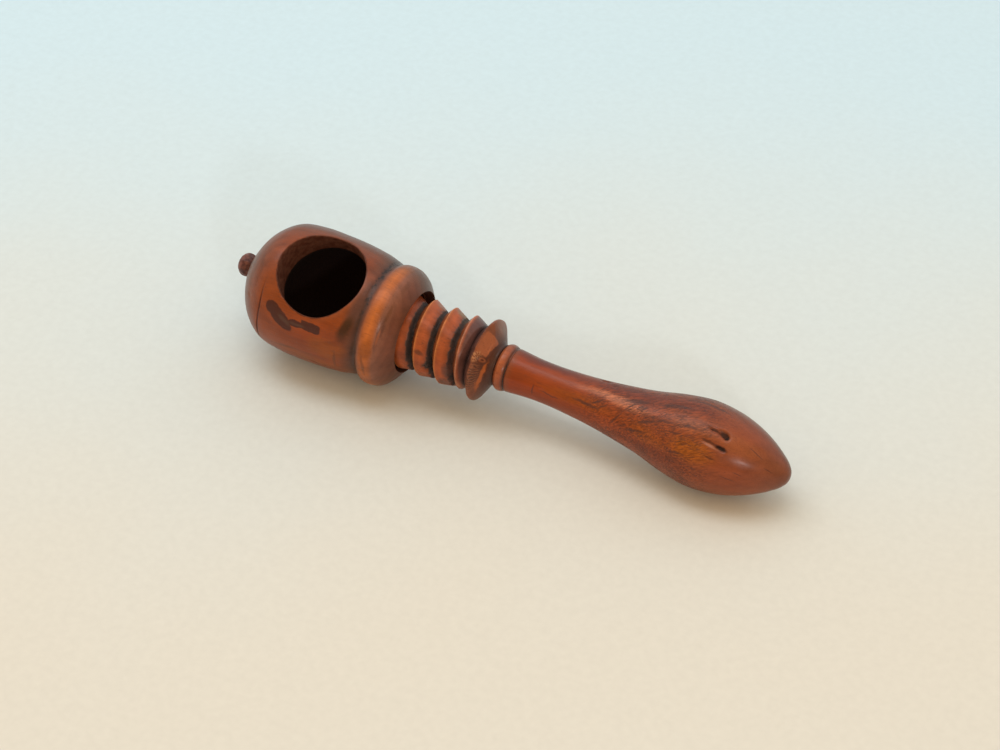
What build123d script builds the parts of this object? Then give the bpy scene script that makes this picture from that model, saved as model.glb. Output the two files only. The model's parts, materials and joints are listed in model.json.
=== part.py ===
from build123d import *
import os
from math import asin, degrees

# A turned-wood screw nutcracker, lying on a table as it is put down after use.
# Every piece is turned about one axis, so each is drawn along X with the closed end of the
# barrel at x = 0, and the whole object is then tipped and rolled into its resting place.
# All sizes are in millimetres.

# --- barrel: the hollow head that holds the nut -------------------------------------------
END_FLAT_R = 4.2           # small flat on the closed end, where the finial's shoulder seats
BELLY_X = 25.5             # where the barrel is fattest
BELLY_R = 20.45
SCRIBE_X = 12.4            # the V-shaped line scribed round the barrel near its closed end
SCRIBE_R = 19.2            # at the bottom of the V
SCRIBE_SLOPE = 0.8         # half its width for each unit of depth
VALLEY_X = 44.4            # the groove between the body and the collar bead
VALLEY_R = 17.9
COLLAR_X = 48.4
COLLAR_R = 19.45
RIDGE_X = 51.0             # the blunt ridge where the collar's end bevel starts
RIDGE_R = 18.95
MOUTH_X = 56.0             # the open face of the barrel
LIP_R = 13.5               # outer edge of the lip
MOUTH_R = 13.05            # inner edge of the lip, where the flare starts
FLARE_DEPTH = 3.0

CHAMBER_R = 16.1           # the round hollow that the nut drops into
CHAMBER_X = 28.0
TAP_START_X = 38.0         # the barrel's thread starts inside the chamber's near side

PORT_X = 27.5              # centre of the round hole that the nut goes in by
PORT_R = 13.5
PORT_ROLL = 23.0           # degrees that the hole leans from straight up, towards -Y

# --- screw thread ----------------------------------------------------------------------------
PITCH = 7.0
CREST_R = 11.85            # the crest's high corner, on the side of the closed end
CREST_LOW_R = 11.05        # the worn crest slopes down to this
ROOT_R = 9.2
CREST_WIDTH = 4.0
FLANK_RUN = 1.1            # length along the axis of the flank behind the crest
ROOT_WIDTH = 0.5
FOOT_DEPTH = 0.15          # how far the ridge is sunk into the core that it stands on
THREAD_PLAY = 0.3          # clearance between screw and barrel threads
CORNER_X = 67.65           # place along the axis of one crest corner ...
CORNER_ROLL = 43.5         # ... at this angle round the axis from the top, towards -Y

# --- screw -----------------------------------------------------------------------------------
TIP_X = 42.3               # end of the screw, at the chamber's near wall in the resting pose
TIP_CHAMFER = 1.5
THREAD_END_X = 77.4        # the thread dies against the flange
THREAD_END_TAPER = 2.2     # a V turned beside the flange cuts the last crest down
FLANGE_RIM_X = 79.9        # the flange's worn rim, between two cones
FLANGE_RIM_WIDTH = 0.9
FLANGE_R = 13.0
NECK_X = 84.3
NECK_R = 6.5
JOINT_X = 85.5             # the plane where screw and handle meet

# --- handle ----------------------------------------------------------------------------------
BEAD_START_R = 6.7
BEAD_X = 87.0
BEAD_R = 7.35
GROOVE_X = 89.0
GROOVE_R = 6.45
SHANK_START_X = 89.5
SHANK_START_R = 6.85
WAIST_X = 101.0
WAIST_R = 6.22
BULB_X = 151.0
BULB_R = 13.33
HANDLE_END_X = 179.1

# --- hidden dowel that joins screw and handle ------------------------------------------------
DOWEL_R = 3.0
DOWEL_PLAY = 0.05
DOWEL_START_X = 72.0
DOWEL_END_X = 99.0
DOWEL_END_GAP = 0.5

# --- finial ----------------------------------------------------------------------------------
FINIAL_LENGTH = 5.9
FINIAL_NECK_R = 3.0
FINIAL_R = 3.9
FINIAL_FACETS = 9
TENON_R = 2.6
TENON_PLAY = 0.02
TENON_LENGTH = 6.0


def turned(outline):
    """Revolve a closed outline, drawn with x along the axis and y as the radius."""
    return revolve(make_face(outline), Axis.X)


def straight(*points):
    return Polyline(*points)


def cylinder_along(start_x, end_x, radius):
    """A round bar on the axis between two places."""
    return turned(
        straight((start_x, 0), (start_x, radius), (end_x, radius), (end_x, 0), (start_x, 0))
    )


def thread_ridge(start_x, end_x, play):
    """The helical ridge of the screw, grown by play so that it can also cut the barrel's thread."""
    front_run = PITCH - CREST_WIDTH - FLANK_RUN - ROOT_WIDTH

    def front(r):
        return -front_run * (CREST_R - r) / (CREST_R - ROOT_R) - play

    def back(r):
        return CREST_WIDTH + FLANK_RUN * (CREST_LOW_R - r) / (CREST_LOW_R - ROOT_R) + play

    foot_r = ROOT_R + play - FOOT_DEPTH
    high_r = CREST_R + play
    low_r = CREST_LOW_R + play
    # drawn with Z along the axis, starting at angle 0
    section = Polyline(
        (foot_r, 0, front(foot_r)), (high_r, 0, front(high_r)),
        (low_r, 0, back(low_r)), (foot_r, 0, back(foot_r)), (foot_r, 0, front(foot_r)),
    )
    path = Helix(pitch=PITCH, height=end_x - start_x, radius=ROOT_R)
    ridge = sweep(make_face(section), path=path, is_frenet=True)
    turn = CORNER_ROLL - 180 - 360 * (CORNER_X - start_x) / PITCH
    return Pos(start_x, 0, 0) * Rot(X=turn) * Rot(Y=90) * ridge


def make_barrel():
    body = Spline(
        (0, END_FLAT_R), (2.0, 9.9), (5.5, 15.1), (10.5, 18.9), (17.0, 20.25),
        (BELLY_X, BELLY_R), (34.5, 19.97), (40.5, 19.1), (VALLEY_X - 0.5, VALLEY_R + 0.25),
        tangents=((0.05, 1), (1, -0.5)),
    )
    neck = straight(body @ 1, (VALLEY_X, VALLEY_R), (VALLEY_X + 0.4, VALLEY_R + 0.3))
    collar = Spline(
        neck @ 1, (45.7, 19.0), (COLLAR_X, COLLAR_R), (RIDGE_X, RIDGE_R),
        tangents=((0.4, 1), (1, -0.4)),
    )
    bevel = Spline(
        collar @ 1, (53.0, 17.3), (54.6, 15.1), (MOUTH_X - 0.15, LIP_R),
        tangents=((1, -0.6), (0.6, -1)),
    )
    rest = straight(bevel @ 1, (MOUTH_X, MOUTH_R + 0.2), (MOUTH_X, 0), (0, 0), (0, END_FLAT_R))
    solid = turned([body, neck, collar, bevel, rest])

    spread = SCRIBE_SLOPE * (BELLY_R - SCRIBE_R)
    scribe = turned(
        straight(
            (SCRIBE_X - spread, BELLY_R), (SCRIBE_X, SCRIBE_R), (SCRIBE_X + spread, BELLY_R),
            (SCRIBE_X - spread, BELLY_R),
        )
    )
    hollow = Pos(CHAMBER_X, 0, 0) * Sphere(CHAMBER_R)
    bore = cylinder_along(TAP_START_X, MOUTH_X + 1, ROOT_R + THREAD_PLAY)
    flare_r = CREST_R + THREAD_PLAY + 0.15
    flare_slope = (MOUTH_R - flare_r) / FLARE_DEPTH
    flare = turned(
        straight(
            (MOUTH_X - FLARE_DEPTH, 0), (MOUTH_X - FLARE_DEPTH, flare_r),
            (MOUTH_X + 1, MOUTH_R + flare_slope), (MOUTH_X + 1, 0), (MOUTH_X - FLARE_DEPTH, 0),
        )
    )
    ridge = thread_ridge(TAP_START_X - 2 * PITCH, MOUTH_X + PITCH, THREAD_PLAY)
    tap = ridge & cylinder_along(TAP_START_X, MOUTH_X + 1, CREST_R + 1)

    port = Pos(PORT_X, 0, 0) * Cylinder(PORT_R, 30, align=(Align.CENTER, Align.CENTER, Align.MIN))
    port = Rot(X=PORT_ROLL) * port

    socket = cylinder_along(-1, TENON_LENGTH + 0.3, TENON_R + TENON_PLAY)
    barrel = solid - scribe - hollow - bore - flare - tap - port - socket
    return barrel


def make_finial():
    knob = turned([
        straight((0, 0), (0, FINIAL_NECK_R)),
        Spline(
            (0, FINIAL_NECK_R), (-2.9, FINIAL_R), (-5.3, 2.7), (-FINIAL_LENGTH, 0),
            tangents=((-1, 0.15), (-0.1, -1)),
        ),
        straight((-FINIAL_LENGTH, 0), (0, 0)),
    ])
    facets = extrude(
        Plane.YZ * RegularPolygon(FINIAL_R - 0.12, FINIAL_FACETS, major_radius=False),
        amount=-FINIAL_LENGTH - 1,
    )
    return (knob & facets) + cylinder_along(0, TENON_LENGTH, TENON_R)


def make_screw():
    core = turned(
        straight(
            (TIP_X, 0), (TIP_X, ROOT_R - TIP_CHAMFER), (TIP_X + TIP_CHAMFER, ROOT_R),
            (THREAD_END_X, ROOT_R),
            (FLANGE_RIM_X, FLANGE_R), (FLANGE_RIM_X + FLANGE_RIM_WIDTH, FLANGE_R),
            (NECK_X, NECK_R), (JOINT_X, NECK_R), (JOINT_X, 0), (TIP_X, 0),
        )
    )
    ridge = thread_ridge(TIP_X - 2 * PITCH, THREAD_END_X + PITCH, 0)
    envelope = turned(
        straight(
            (TIP_X, 0), (TIP_X, ROOT_R - TIP_CHAMFER), (TIP_X + 2 * TIP_CHAMFER, CREST_R + 0.5),
            (THREAD_END_X - THREAD_END_TAPER, CREST_R + 0.5), (THREAD_END_X, ROOT_R),
            (THREAD_END_X, 0), (TIP_X, 0),
        )
    )
    bore = cylinder_along(DOWEL_START_X - DOWEL_END_GAP, JOINT_X + 1, DOWEL_R + DOWEL_PLAY)
    return core + (ridge & envelope) - bore


def make_handle():
    bead = Spline(
        (JOINT_X, BEAD_START_R), (BEAD_X, BEAD_R), (GROOVE_X - 0.4, 6.95),
        tangents=((0.2, 1), (0.5, -1)),
    )
    groove = straight(bead @ 1, (GROOVE_X, GROOVE_R), (SHANK_START_X, SHANK_START_R))
    bulb = Spline(
        groove @ 1, (95.5, 6.35), (WAIST_X, WAIST_R), (110.0, 6.6), (118.0, 7.35), (126.0, 8.5),
        (134.0, 9.95), (142.0, 12.0), (BULB_X, BULB_R), (161.5, 12.1), (168.5, 9.55), (175.0, 5.6),
        (HANDLE_END_X, 0),
        tangents=((1, -0.08), (0.15, -1)),
    )
    rest = straight(bulb @ 1, (JOINT_X, 0), (JOINT_X, BEAD_START_R))
    solid = turned([bead, groove, bulb, rest])
    return solid - cylinder_along(JOINT_X - 1, DOWEL_END_X + DOWEL_END_GAP, DOWEL_R + DOWEL_PLAY)


def make_dowel():
    bar = cylinder_along(DOWEL_START_X, DOWEL_END_X, DOWEL_R)
    return chamfer(bar.edges().filter_by(GeomType.CIRCLE), 0.5)


pieces = {
    "barrel": make_barrel(),
    "end_finial": make_finial(),
    "screw": make_screw(),
    "handle": make_handle(),
    "joint_dowel": make_dowel(),
}

# It lies on the belly of the barrel and the bulb of the handle, so the axis slopes a little.
rest_slope = degrees(asin((BELLY_R - BULB_R) / (BULB_X - BELLY_X)))
tipped = Rot(Y=rest_slope)
box = Compound([tipped * piece for piece in pieces.values()]).bounding_box()
place = Pos(-box.center().X, -box.center().Y, -box.min.Z) * tipped

os.makedirs("parts", exist_ok=True)
for name, piece in pieces.items():
    placed = place * piece
    placed.label = name
    export_step(placed, f"parts/{name}.step")

axis_point = place * Pos(0, 0, 0)
print("closed end on the axis:", axis_point.position, "slope in degrees:", round(rest_slope, 4))
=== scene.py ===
import json
import math

import bmesh
import bpy
import numpy as np
from mathutils import Matrix, Vector, noise


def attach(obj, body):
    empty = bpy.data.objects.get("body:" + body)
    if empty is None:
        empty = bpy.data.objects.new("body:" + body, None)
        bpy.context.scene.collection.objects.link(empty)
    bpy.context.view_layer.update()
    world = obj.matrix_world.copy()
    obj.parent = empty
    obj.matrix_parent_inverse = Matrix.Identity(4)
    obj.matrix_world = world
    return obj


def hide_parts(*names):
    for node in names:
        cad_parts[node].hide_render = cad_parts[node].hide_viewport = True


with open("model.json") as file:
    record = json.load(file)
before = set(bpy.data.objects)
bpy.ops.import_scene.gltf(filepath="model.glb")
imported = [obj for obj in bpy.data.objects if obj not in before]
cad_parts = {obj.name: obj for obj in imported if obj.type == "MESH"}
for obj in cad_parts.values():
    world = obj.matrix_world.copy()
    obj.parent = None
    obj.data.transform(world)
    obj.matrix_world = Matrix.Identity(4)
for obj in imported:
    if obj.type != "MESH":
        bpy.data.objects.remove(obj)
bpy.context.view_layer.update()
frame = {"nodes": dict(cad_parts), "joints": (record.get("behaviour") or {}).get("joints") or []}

# --- Barrel -------------------------------
# The hollow head that holds the nut: one piece of close-grained fruitwood, turned outside,
# hollowed and tapped from its mouth and drilled in the side for the nut. Old wax over it,
# pale where hands rubbed it and dark where they didn't. Light is painted on it too: highlights
# on the hole's edge and the collar, a rose sheen, shade and grey reflection on the side away
# from the camera, a shadow round the hole's edge and black shade inside the chamber.
MM = 0.001

turning = next(joint for joint in frame["joints"] if joint["name"] == "screw_turn")
TURNING_POINT_X = 60.0  # place of that joint along the axis, from the closed end
along = -Vector(turning["axis"]).normalized()
sideways = Vector((0, 1, 0))
closed_end = Vector(turning["pos_m"]) - along * TURNING_POINT_X * MM
# Every piece is drawn with x along the lathe's axis, from the closed end of the barrel.
turned_frame = Matrix((along, sideways, along.cross(sideways))).transposed().to_4x4()
turned_frame.translation = closed_end


def curve_through(points, step=0.4):
    """Rows (x, r) of a smooth outline through given points, about step apart."""
    knots = np.array(points, float)
    chord = np.hypot(*np.diff(knots, axis=0).T)
    place = np.concatenate(([0.0], np.cumsum(chord)))
    slope = np.gradient(knots, place, axis=0)
    rows = []
    for i, length in enumerate(chord):
        count = max(2, round(length / step))
        t = np.linspace(0, 1, count, endpoint=False)[:, None]
        rows.append(
            (1 + 2 * t) * (1 - t) ** 2 * knots[i] + t * (1 - t) ** 2 * length * slope[i]
            + t * t * (3 - 2 * t) * knots[i + 1] + t * t * (t - 1) * length * slope[i + 1]
        )
    return np.vstack(rows + [knots[-1:]])


def straight_rows(points, step):
    """Rows (x, r) along straight runs, about step apart."""
    rows = [np.array(points[:1], float)]
    for start, end in zip(points, points[1:]):
        count = max(1, round(math.dist(start, end) / step))
        t = np.linspace(0, 1, count + 1)[1:, None]
        rows.append((1 - t) * np.array(start) + t * np.array(end))
    return np.vstack(rows)


def round_axis(x, r, roll):
    """Points at x along the axis, r from it and roll degrees from the top, towards -Y."""
    angle = np.radians(roll)
    x, r, angle = np.broadcast_arrays(x, r, angle)
    return np.stack((x, -r * np.sin(angle), r * np.cos(angle)), axis=-1)


def turned(rows, rolls):
    """The grid of points that rows (x, r) make at those rolls."""
    return round_axis(rows[:, :1], rows[:, 1:], rolls)


def ease(value, low, high):
    """0 below low and 1 above high, or the other way round, with a smooth step between."""
    t = np.clip((value - low) / (high - low), 0, 1)
    return t * t * (3 - 2 * t)


def lumps(points, size, seed):
    """Smooth noise from -1 to 1 at each point, with lumps of about that size in mm."""
    flat = points.reshape(-1, 3) / size + seed * 17.3
    return np.array([noise.noise(p) for p in flat.tolist()]).reshape(points.shape[:-1]) * 1.6


def bump_at(x, roll, r, spot):
    """1 inside a spot (x, roll, length, width, lean) on a round face, falling to 0 past its edge."""
    spot_x, spot_roll, length, width, lean = spot
    run = x - spot_x
    rise = np.radians((roll - spot_roll + 180) % 360 - 180) * r
    cos, sin = math.cos(math.radians(lean)), math.sin(math.radians(lean))
    reach = np.hypot((run * cos + rise * sin) / length, (rise * cos - run * sin) / width) * 2
    return ease(reach, 1.4, 0.5)


def skin_frame(roll, lean):
    """The axes of a patch of skin at that roll: the first leans from x, the last points outward."""
    turn, lean = math.radians(roll), math.radians(lean)
    outward = Vector((0, -math.sin(turn), math.cos(turn)))
    rise = Vector((0, -math.cos(turn), -math.sin(turn)))
    long_way = Vector((math.cos(lean), 0, 0)) + rise * math.sin(lean)
    return Matrix((long_way, outward.cross(long_way), outward)).transposed()


link = bpy.context.collection.objects.link


class Shell:
    """Collects sheets of four-sided faces, in mm, and joins them into one piece."""

    def __init__(self):
        self.points = []
        self.faces = []
        self.count = 0

    def sheet(self, grid, hole=None):
        """Faces between the closed rows of grid (rows, columns, 3), left out where hole says."""
        rows, columns = grid.shape[:2]
        self.points.append(grid.reshape(-1, 3))
        for i in range(rows - 1):
            here = self.count + i * columns
            for j in range(columns):
                if hole and hole(i, j):
                    continue
                k = (j + 1) % columns
                self.faces.append((here + j, here + k, here + columns + k, here + columns + j))
        self.count += rows * columns

    def piece(self, name, body, node, slot, crease=48):
        """Weld the sheets, put the piece in its place and tie it to the frame."""
        mesh = bpy.data.meshes.new(name)
        mesh.from_pydata((np.vstack(self.points) * MM).tolist(), [], self.faces)
        made = bpy.data.objects.new(name, mesh)
        link(made)
        work = bmesh.new()
        work.from_mesh(mesh)
        bmesh.ops.remove_doubles(work, verts=work.verts, dist=0.004 * MM)
        bmesh.ops.dissolve_degenerate(work, edges=work.edges, dist=0.001 * MM)
        bmesh.ops.recalc_face_normals(work, faces=work.faces)
        for face in work.faces:
            face.smooth = True
        for edge in work.edges:
            if len(edge.link_faces) == 2 and edge.calc_face_angle() > math.radians(crease):
                edge.smooth = False
        work.to_mesh(mesh)
        work.free()
        mesh.transform(turned_frame)
        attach(made, body)
        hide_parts(node)
        return made


class Wire:
    """One output of a material's nodes. Sums and products of wires add their Math nodes."""

    def __init__(self, tree, socket):
        self.tree = tree
        self.socket = socket

    def node(self, kind, settings, inputs, output=0):
        """Add a node: its settings first, then the values or links of its sockets."""
        made = self.tree.nodes.new(kind)
        for name, value in settings.items():
            if name == "stops":
                self.set_stops(made.color_ramp, value)
            else:
                setattr(made, name, value)
        for key, value in inputs.items():
            socket = made.inputs[key]
            if isinstance(value, Wire):
                self.tree.links.new(value.socket, socket)
            elif socket.type == "RGBA":
                socket.default_value = (*value, 1)
            else:
                socket.default_value = value
        return Wire(self.tree, made.outputs[output])

    def set_stops(self, ramp, stops):
        while len(ramp.elements) < len(stops):
            ramp.elements.new(1)
        for element, (place, colour) in zip(ramp.elements, stops):
            element.position = place
            element.color = (*colour, 1)

    def math(self, operation, *values):
        return self.node("ShaderNodeMath", {"operation": operation}, dict(enumerate((self, *values))))

    def __add__(self, other):
        return self.math("ADD", other)

    def __sub__(self, other):
        return self.math("SUBTRACT", other)

    def __rsub__(self, other):
        return self * -1 + other

    def __mul__(self, other):
        return self.math("MULTIPLY", other)

    def __truediv__(self, other):
        return self.math("DIVIDE", other)

    __radd__ = __add__
    __rmul__ = __mul__

    def vector(self, operation, *values):
        output = "Value" if operation in ("LENGTH", "DOT_PRODUCT") else "Vector"
        inputs = dict(enumerate((self, *values)))
        return self.node("ShaderNodeVectorMath", {"operation": operation}, inputs, output)

    def ease(self, low, high):
        """The same smooth step as ease above, as a node."""
        inputs = {"Value": self, "From Min": low, "From Max": high}
        return self.node("ShaderNodeMapRange", {"interpolation_type": "SMOOTHSTEP"}, inputs)

    def mix(self, first, second):
        """The first colour where this is 0 and the second where it is 1."""
        return self.node("ShaderNodeMix", {"data_type": "RGBA"}, {0: self, 6: first, 7: second}, 2)

    def shade(self, colour):
        """That colour times this number."""
        return self.node("ShaderNodeVectorMath", {"operation": "SCALE"}, {0: colour, "Scale": self})

    def tones(self, start, end, stops):
        """The colour for this value, between the colours of the stops (value, colour)."""
        shares = [((value - start) / (end - start), colour) for value, colour in stops]
        share = (self - start) / (end - start)
        return self.node("ShaderNodeValToRGB", {"stops": shares}, {0: share})

    def noise(self, lumps_per_mm, seed, detail=3.0, output="Fac"):
        """Smooth noise from 0 to 1, with that many lumps to a millimetre, one number or three."""
        each_way = tuple(np.ones(3) * lumps_per_mm)
        moved = self.vector("MULTIPLY", each_way).vector("ADD", (seed * 3.7, seed * 5.1, seed * 7.9))
        inputs = {"Vector": moved, "Scale": 1.0, "Detail": detail}
        return self.node("ShaderNodeTexNoise", {}, inputs, output)

    def jitter(self, lumps_per_mm, seed, amount):
        """This place moved about by up to that many millimetres, for ragged edges."""
        shift = self.noise(lumps_per_mm, seed, output="Color").vector("SUBTRACT", (0.5, 0.5, 0.5))
        inputs = {0: shift, 1: (2 * amount,) * 3, 2: self}
        return self.node("ShaderNodeVectorMath", {"operation": "MULTIPLY_ADD"}, inputs)

    def within(self, middle, axes, size=(1, 1, 1)):
        """This place as seen in a frame of its own."""
        inputs = {"Vector": self, "Location": middle, "Rotation": tuple(axes.to_euler()), "Scale": size}
        return self.node("ShaderNodeMapping", {"vector_type": "TEXTURE"}, inputs)

    def spot(self, r, spot, depth=4.0, square=False):
        """The mask of bump_at for this place, or one with a square outline."""
        spot_x, spot_roll, length, width, lean = spot
        axes = skin_frame(spot_roll, lean)
        middle = Vector((spot_x, 0, 0)) + axes.col[2] * r
        near = self.within(middle, axes, (length / 2, width / 2, depth))
        if square:
            near = near.vector("MULTIPLY", near).vector("MULTIPLY", near).vector("ABSOLUTE")
            return near.vector("LENGTH").math("POWER", 1 / 3).ease(1.3, 0.6)
        return near.vector("LENGTH").ease(1.4, 0.5)


OLD_WAX_GLOSS = 0.2  # Specular IOR Level of every piece
OLD_WAX_SPREAD = 0.24  # Coat Roughness of every piece


class Finish:
    """A material laid out along the lathe's axis, with its places in mm."""

    def __init__(self, name):
        self.made = bpy.data.materials.new(name)
        self.made.use_nodes = True
        tree = self.made.node_tree
        seen = Wire(tree, tree.nodes.new("ShaderNodeTexCoord").outputs["Object"])
        self.place = seen.within(closed_end, turned_frame, (MM, MM, MM))
        self.x, y, z = (
            seen.node("ShaderNodeSeparateXYZ", {}, {0: self.place}, axis) for axis in "XYZ"
        )
        self.reach = self.place.vector("MULTIPLY", (0, 1, 1)).vector("LENGTH")
        self.roll = (y * -1).math("ARCTAN2", z) * (180 / math.pi)
        self.colour = None

    def paint(self, mask, tone):
        """Lay that tone over the colour so far, as far as the mask says."""
        self.colour = mask.mix(self.colour, tone)

    def lay_on(self, piece, roughness, relief, coat):
        """Link the colour, roughness, relief (in mm) and wax coat; put the material on the piece."""
        tree = self.made.node_tree
        shader = tree.nodes["Principled BSDF"]
        shader.inputs["Specular IOR Level"].default_value = OLD_WAX_GLOSS
        shader.inputs["Coat Roughness"].default_value = OLD_WAX_SPREAD
        bump = relief.node("ShaderNodeBump", {}, {"Height": relief, "Distance": MM})
        wires = {
            "Base Color": self.colour, "Roughness": roughness, "Normal": bump, "Coat Weight": coat,
        }
        for socket, wire in wires.items():
            tree.links.new(wire.socket, shader.inputs[socket])
        if not piece.material_slots:
            piece.data.materials.append(self.made)
        for slot in piece.material_slots:
            slot.material = self.made


def grain(place, seed, pith, ring_gap, ring_dark=0.12):
    """Fibres and growth rings of a piece turned along the grain: 0 dark, 1 pale."""
    bent = place.jitter((0.02, 0.07, 0.07), seed, 2.2)
    from_pith = bent.vector("SUBTRACT", (0, *pith)).vector("MULTIPLY", (0.04, 1, 1)).vector("LENGTH")
    share = (from_pith / ring_gap).math("FRACT")
    late = share.ease(0.3, 0.9) * share.ease(1.0, 0.92)
    streak = place.noise((0.035, 0.45, 0.45), seed + 1, 4.0)
    fibre = place.noise((0.14, 3.2, 3.2), seed + 2, 2.0)
    return streak * 0.6 + fibre * 0.35 - late * ring_dark + 0.06


# the thread, cut alike in the barrel and on the screw
PITCH = 7.0
CREST_R = 11.85
CREST_LOW_R = 11.05
ROOT_R = 9.2
CREST_WIDTH = 4.0
FLANK_RUN = 1.0
FRONT_RUN = 1.9
CORNER_X = 67.65
CORNER_ROLL = 43.5
THREAD_PLAY = 0.3


def thread_phase(x, roll):
    """Distance along the axis past the crest's corner on the side of the closed end."""
    corner = CORNER_X + PITCH * (roll - CORNER_ROLL) / 360
    return (x - corner + FRONT_RUN) % PITCH - FRONT_RUN


def thread_radius(x, roll, soften=0.22):
    """Radius of the hand-cut thread, its corners softened by wear."""
    phase = thread_phase(x, roll)
    foot = CREST_WIDTH + FLANK_RUN
    xs = (-FRONT_RUN - 0.5, -FRONT_RUN, 0, CREST_WIDTH, foot, PITCH - FRONT_RUN, PITCH)
    rs = (ROOT_R, ROOT_R, CREST_R, CREST_LOW_R, ROOT_R, ROOT_R, CREST_R)
    taps = np.array((-1.0, -0.5, 0, 0.5, 1.0)) * soften
    return sum(np.interp(phase + tap, xs, rs) for tap in taps) / len(taps)


BODY = [
    (0, 4.2), (0.7, 7), (2, 9.9), (5.5, 15.1), (10.5, 18.9), (17, 20.2), (25.5, 20.4), (34.5, 19.92),
    (40.5, 19.05), (43.2, 18.3), (44.4, 17.95), (45.3, 18.45), (46.4, 19.15), (48.6, 19.42),
    (50.6, 19.1),
]
BEVEL = [(50.6, 19.1), (51.4, 18.7), (53.0, 17.25), (54.6, 15.1), (55.7, 13.65), (56.0, 13.25)]
FLARE = [(53.15, 12.3), (54.5, 12.62), (55.5, 12.92), (55.9, 13.1), (56.0, 13.25)]
SCRIBE_X = 12.4  # the scribed line's place near the top, where it fades out
SCRIBE_DRIFT = 1.0  # it wanders this far towards the closed end further down
SCRIBE_DEPTH = 0.42
SCRIBE_HALF_WIDTH = 0.34
SCRIBE_ROWS = (10.8, 13.1, 0.13)  # closer rows from, to and apart, so that its V is cut in the surface
PORT_ROWS = (13.2, 41.9)  # the rows between which the hole disturbs the surface
COLLAR_SWELL = 0.4
COLLAR_LOSS = 0.45
FLARE_X = 53.0
FLARE_R = 12.3
PORT_X = 27.5
PORT_R = 13.5
PORT_ROLL = 23.0
PORT_LIP = 0.75
CHAMBER_X = 28.0
CHAMBER_R = 16.1
BORE_X = 41.6  # the plain bore between the round chamber and the thread ends here
BORE_R = 12.2
SOCKET_R = 2.62
SOCKET_DEPTH = 6.3
HIGH_SIDE = -46.5  # roll at which the collar was turned away most, being off centre
LOW_SIDE = 122.0

body_rows = curve_through(BODY)
fine_x = np.arange(*SCRIBE_ROWS)
coarse = body_rows[(body_rows[:, 0] < fine_x[0] - 0.1) | (body_rows[:, 0] > fine_x[-1] + 0.1)]
fine_rows = np.stack((fine_x, np.interp(fine_x, *body_rows.T)), axis=1)
body_rows = np.vstack((coarse, fine_rows))
body_rows = body_rows[np.argsort(body_rows[:, 0], kind="stable")]
port_first, port_last = (int(np.argmin(np.abs(body_rows[:, 0] - row_x))) for row_x in PORT_ROWS)
outer_rows = np.vstack((body_rows, curve_through(BEVEL, 0.3)[1:]))

BARREL_COLUMNS = 240
PORT_COLUMNS = 34  # columns on each side of the hole's middle that the hole disturbs
BARREL_DINGS = [  # x, roll, length, width and lean
    (31, 118, 3, 1.2, 20), (36.5, 84, 1.6, 0.8, -30), (21.5, 128, 2.2, 1, 60), (49.3, 40, 1.8, 0.9, 10),
    (48, 100, 2.4, 1, -15), (7.5, 70, 1.6, 1, 0), (38, -60, 2, 1.1, 40), (16, -75, 2.6, 1, -20),
    (30, -120, 3, 1.4, 0), (50.5, -40, 1.6, 1, 0), (24, 172, 3.2, 1.3, 25), (47, 165, 2, 1.2, 0),
]


def barrel_radius(x, r, roll):
    """The turned radius less the off-centre collar, the scribed line, dings and old unevenness."""
    points = round_axis(x, r, roll)
    depth = 0.05 + 0.04 * lumps(points, 9, 1) + 0.02 * lumps(points, 2.2, 2)
    for ding in BARREL_DINGS:
        depth = depth + 0.16 * bump_at(x, roll, r, ding)
    line_x = SCRIBE_X - SCRIBE_DRIFT * ease(roll % 360, 70, 110)
    shown = ease(roll % 360, 42, 80) * ease(roll % 360, 250, 210) * (0.85 + 0.3 * lumps(points, 5, 3))
    cut = np.clip(1 - np.abs(x - line_x) / SCRIBE_HALF_WIDTH, 0, 1)
    depth = np.clip(depth, 0, 1) + shown * SCRIBE_DEPTH * cut
    on_collar = ease(x, 44.2, 46.2) * ease(x, 55.0, 51.0)
    low_turn = (roll - LOW_SIDE + 180) % 360 - 180
    swell = COLLAR_SWELL * np.exp(-((low_turn / 30) ** 2))
    loss = COLLAR_LOSS * (1 + np.cos(np.radians(roll - HIGH_SIDE)))
    return r - depth + on_collar * (swell - loss)


barrel = Shell()
rolls = PORT_ROLL + 360 / BARREL_COLUMNS * np.arange(BARREL_COLUMNS)
row_x = outer_rows[:, :1] + 0 * rolls
row_r = barrel_radius(row_x, outer_rows[:, 1:], rolls + 0 * row_x)
outer_grid = round_axis(row_x, row_r, rolls)


def port_gap(first, last, total):
    """Whether a face is one of the square of faces left out for the hole."""
    return lambda i, j: first <= i < last and not PORT_COLUMNS <= j < total - PORT_COLUMNS


barrel.sheet(outer_grid, port_gap(port_first, port_last, BARREL_COLUMNS))


def port_border(first, last, total):
    """Grid places (row, column) round the square of faces left out for the hole, in order."""
    left = [(first, j % total) for j in range(-PORT_COLUMNS, PORT_COLUMNS)]
    down = [(i, PORT_COLUMNS) for i in range(first, last)]
    right = [(last, j % total) for j in range(PORT_COLUMNS, -PORT_COLUMNS, -1)]
    up = [(i, -PORT_COLUMNS % total) for i in range(last, first, -1)]
    return left + down + right + up


port_turn = math.radians(PORT_ROLL)
port_middle = np.array((0, -math.sin(port_turn), math.cos(port_turn)))
port_across = np.array((0, -math.cos(port_turn), -math.sin(port_turn)))


def port_point(run, across, height):
    """A point by its place in the hole's own frame: along the barrel, across it and up the hole."""
    run, across, height = np.broadcast_arrays(run, across, height)
    return (
        np.stack((PORT_X + run, 0 * run, 0 * run), axis=-1)
        + across[..., None] * port_across + height[..., None] * port_middle
    )


border = port_border(port_first, port_last, BARREL_COLUMNS)
edge = np.array([outer_grid[place] for place in border])
edge_run = edge[:, 0] - PORT_X
edge_across = edge @ port_across
bearing = np.arctan2(edge_across, edge_run)

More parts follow.
